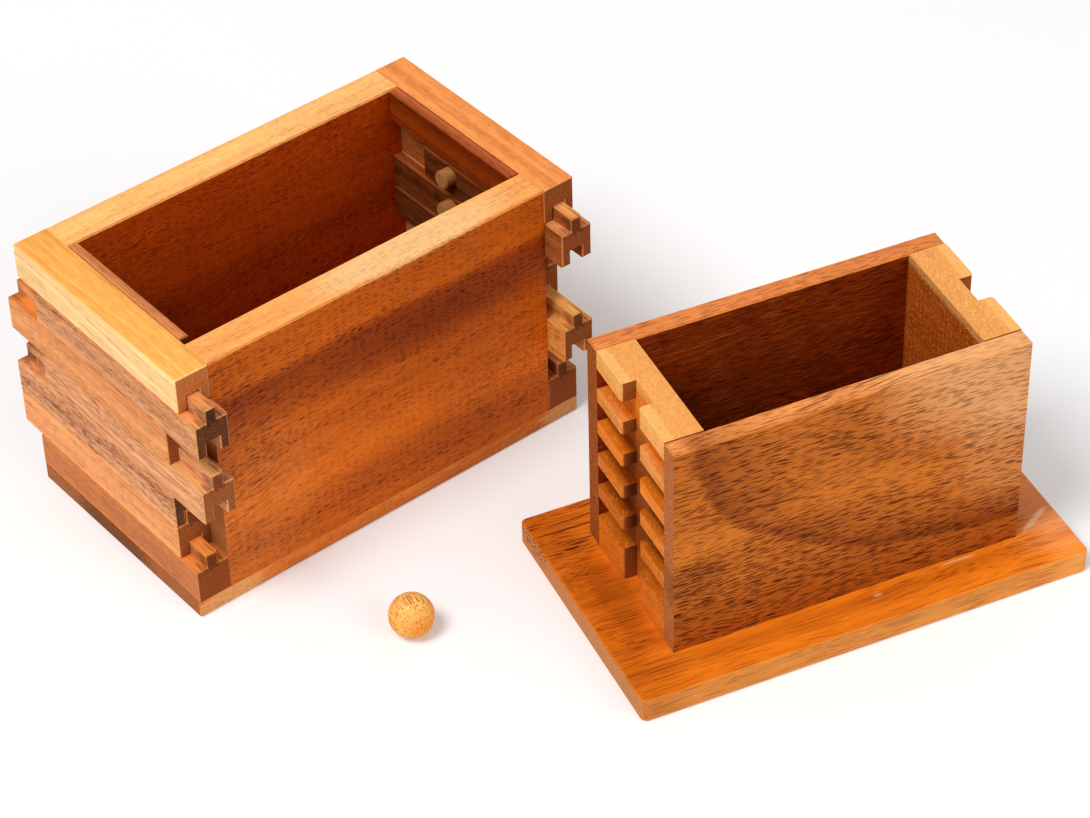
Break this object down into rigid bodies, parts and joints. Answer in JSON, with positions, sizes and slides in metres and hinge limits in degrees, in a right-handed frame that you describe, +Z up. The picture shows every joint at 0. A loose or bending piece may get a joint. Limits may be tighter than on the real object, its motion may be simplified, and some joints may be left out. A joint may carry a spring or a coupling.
{
  "type": "wooden puzzle box",
  "caption": "Wooden puzzle box, open: casing with tongue-and-groove sliding end rails that lock by dowels, inner box with slotted end boards on a base plate, and a small ball.",
  "frame": {"origin": "middle of the base plate's underside", "axes": "+X along the inner box, +Y across it away from the viewer, +Z up"},
  "size_m": [0.2637, 0.2163, 0.0898],
  "materials": {
    "side_wall_wood": "oiled, satin",
    "lid_wood": "oiled, satin",
    "pale_rail_wood": "oiled, satin",
    "orange_rail_wood": "oiled, satin",
    "brown_rail_wood": "oiled, satin",
    "pink_rail_wood": "oiled, satin",
    "dark_rail_wood": "oiled, satin",
    "strip_wood": "oiled, satin",
    "block_wood": "oiled, satin",
    "dowel_wood": "oiled, satin",
    "base_wood": "oiled, satin",
    "end_board_wood": "oiled, satin",
    "inner_wall_wood": "oiled, satin",
    "ball_wood": "oiled, satin"
  },
  "bodies": {
    "inner_box": {"base_plate": "base_wood", "left_end_board": "end_board_wood", "right_end_board": "end_board_wood", "near_long_wall": "inner_wall_wood", "far_long_wall": "inner_wall_wood"},
    "casing": {"lid_plate": "lid_wood", "near_side_wall": "side_wall_wood", "far_side_wall": "side_wall_wood", "left_rim_rail": "pale_rail_wood", "left_rim_strip": "strip_wood", "left_lid_rail": "orange_rail_wood", "right_rim_rail": "orange_rail_wood", "right_rim_strip": "strip_wood", "right_lid_rail": "brown_rail_wood"},
    "left_slider_1": {"left_slider_1_rail": "brown_rail_wood", "left_slider_1_block": "block_wood", "left_slider_1_dowel": "dowel_wood"},
    "left_slider_2": {"left_slider_2_rail": "orange_rail_wood", "left_slider_2_block": "block_wood", "left_slider_2_dowel": "dowel_wood"},
    "left_slider_3": {"left_slider_3_rail": "pink_rail_wood", "left_slider_3_block": "block_wood", "left_slider_3_dowel": "dowel_wood"},
    "left_slider_4": {"left_slider_4_rail": "dark_rail_wood", "left_slider_4_block": "block_wood", "left_slider_4_dowel": "dowel_wood"},
    "left_slider_5": {"left_slider_5_rail": "orange_rail_wood", "left_slider_5_block": "block_wood", "left_slider_5_dowel": "dowel_wood"},
    "right_slider_1": {"right_slider_1_rail": "brown_rail_wood", "right_slider_1_block": "block_wood", "right_slider_1_dowel": "dowel_wood"},
    "right_slider_2": {"right_slider_2_rail": "brown_rail_wood", "right_slider_2_block": "block_wood", "right_slider_2_dowel": "dowel_wood"},
    "right_slider_3": {"right_slider_3_rail": "orange_rail_wood", "right_slider_3_block": "block_wood", "right_slider_3_dowel": "dowel_wood"},
    "right_slider_4": {"right_slider_4_rail": "brown_rail_wood", "right_slider_4_block": "block_wood", "right_slider_4_dowel": "dowel_wood"},
    "right_slider_5": {"right_slider_5_rail": "orange_rail_wood", "right_slider_5_block": "block_wood", "right_slider_5_dowel": "dowel_wood"},
    "ball": {"ball": "ball_wood"}
  },
  "joints": [
    {"name": "casing_lift", "type": "slide", "parent": "inner_box", "child": "casing", "axis": [0, 0, 1], "range_m": [0, 0.1]},
    {"name": "left_slider_1_slide", "type": "slide", "parent": "casing", "child": "left_slider_1", "axis": [-0.2588, 0.9659, 0], "range_m": [0, 0.016]},
    {"name": "left_slider_2_slide", "type": "slide", "parent": "casing", "child": "left_slider_2", "axis": [-0.2588, 0.9659, 0], "range_m": [-0.016, 0]},
    {"name": "left_slider_3_slide", "type": "slide", "parent": "casing", "child": "left_slider_3", "axis": [-0.2588, 0.9659, 0], "range_m": [0, 0.016]},
    {"name": "left_slider_4_slide", "type": "slide", "parent": "casing", "child": "left_slider_4", "axis": [-0.2588, 0.9659, 0], "range_m": [-0.016, 0]},
    {"name": "left_slider_5_slide", "type": "slide", "parent": "casing", "child": "left_slider_5", "axis": [-0.2588, 0.9659, 0], "range_m": [-0.016, 0]},
    {"name": "right_slider_1_slide", "type": "slide", "parent": "casing", "child": "right_slider_1", "axis": [-0.2588, 0.9659, 0], "range_m": [0, 0.016]},
    {"name": "right_slider_2_slide", "type": "slide", "parent": "casing", "child": "right_slider_2", "axis": [-0.2588, 0.9659, 0], "range_m": [-0.016, 0]},
    {"name": "right_slider_3_slide", "type": "slide", "parent": "casing", "child": "right_slider_3", "axis": [-0.2588, 0.9659, 0], "range_m": [-0.016, 0]},
    {"name": "right_slider_4_slide", "type": "slide", "parent": "casing", "child": "right_slider_4", "axis": [-0.2588, 0.9659, 0], "range_m": [0, 0.016]},
    {"name": "right_slider_5_slide", "type": "slide", "parent": "casing", "child": "right_slider_5", "axis": [-0.2588, 0.9659, 0], "range_m": [-0.016, 0]},
    {"name": "ball_lift", "type": "slide", "parent": "inner_box", "child": "ball", "axis": [0, 0, 1], "range_m": [0, 0.1]}
  ]
}
